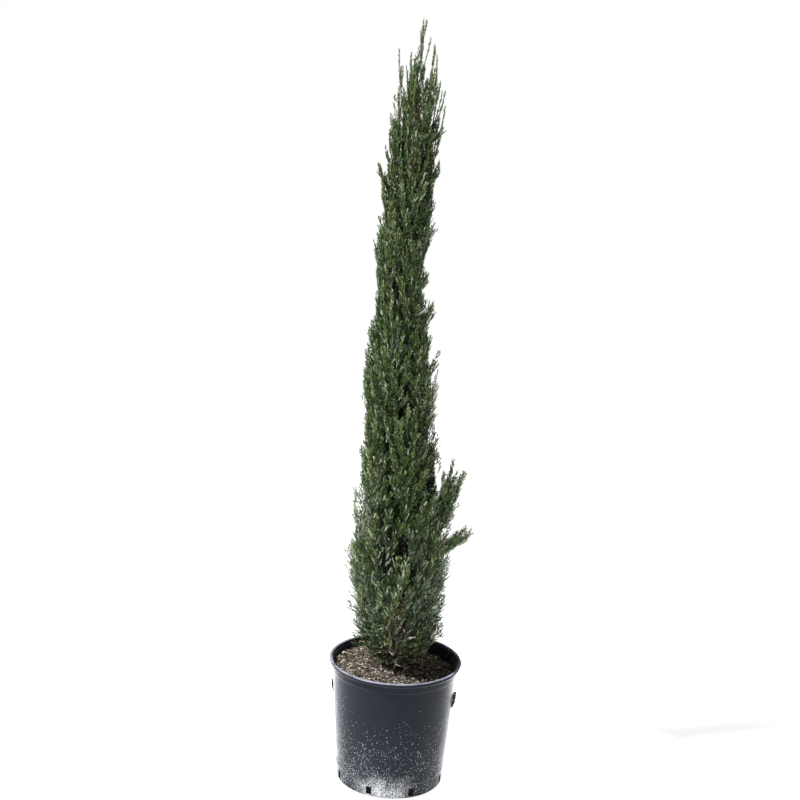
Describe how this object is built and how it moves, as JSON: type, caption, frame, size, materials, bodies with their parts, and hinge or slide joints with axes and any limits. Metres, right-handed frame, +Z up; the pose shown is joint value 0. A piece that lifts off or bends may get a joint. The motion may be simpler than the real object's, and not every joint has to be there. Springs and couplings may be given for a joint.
{
  "type": "potted italian cypress tree",
  "caption": "Tall, slender evergreen tree with upright scale-leaved sprays in flame-shaped masses round a tapering trunk, growing in a round plastic nursery pot filled with soil.",
  "frame": {"origin": "centre of the pot's flat underside, on the ground", "axes": "+Z up along the tree, the front looks along +Y, +X to its right"},
  "size_m": [0.4, 0.4, 2.21],
  "materials": {
    "pot": "blue-black moulded plastic with a satin sheen, pale dust towards the base",
    "soil": "dry, fibrous compost of bark, coir and straw, tan with darker crumbs",
    "bark": "dull grey-brown bark in thin upright strips",
    "foliage": "dull dark green scale leaves, yellower at the tips and brown inside the crown"
  },
  "bodies": {
    "root": {"pot": "pot", "potting_soil": "soil", "trunk": "bark", "leader_shoot": "foliage", "bough_01": "bark", "bough_02": "bark", "bough_03": "bark", "bough_04": "bark", "bough_05": "bark", "bough_06": "bark", "bough_07": "bark", "bough_08": "bark", "bough_09": "bark", "bough_10": "bark", "bough_11": "bark", "bough_12": "bark", "bough_13": "bark", "bough_14": "bark", "foliage_01": "foliage", "foliage_02": "foliage", "foliage_03": "foliage", "foliage_04": "foliage", "foliage_05": "foliage", "foliage_06": "foliage", "foliage_07": "foliage", "foliage_08": "foliage", "foliage_09": "foliage", "foliage_10": "foliage", "foliage_11": "foliage", "foliage_12": "foliage", "foliage_13": "foliage", "foliage_14": "foliage", "foliage_15": "foliage", "foliage_16": "foliage", "foliage_17": "foliage", "foliage_18": "foliage", "foliage_19": "foliage", "foliage_20": "foliage", "foliage_21": "foliage", "foliage_22": "foliage", "foliage_23": "foliage", "foliage_24": "foliage", "foliage_25": "foliage", "foliage_26": "foliage", "foliage_27": "foliage"}
  },
  "joints": []
}
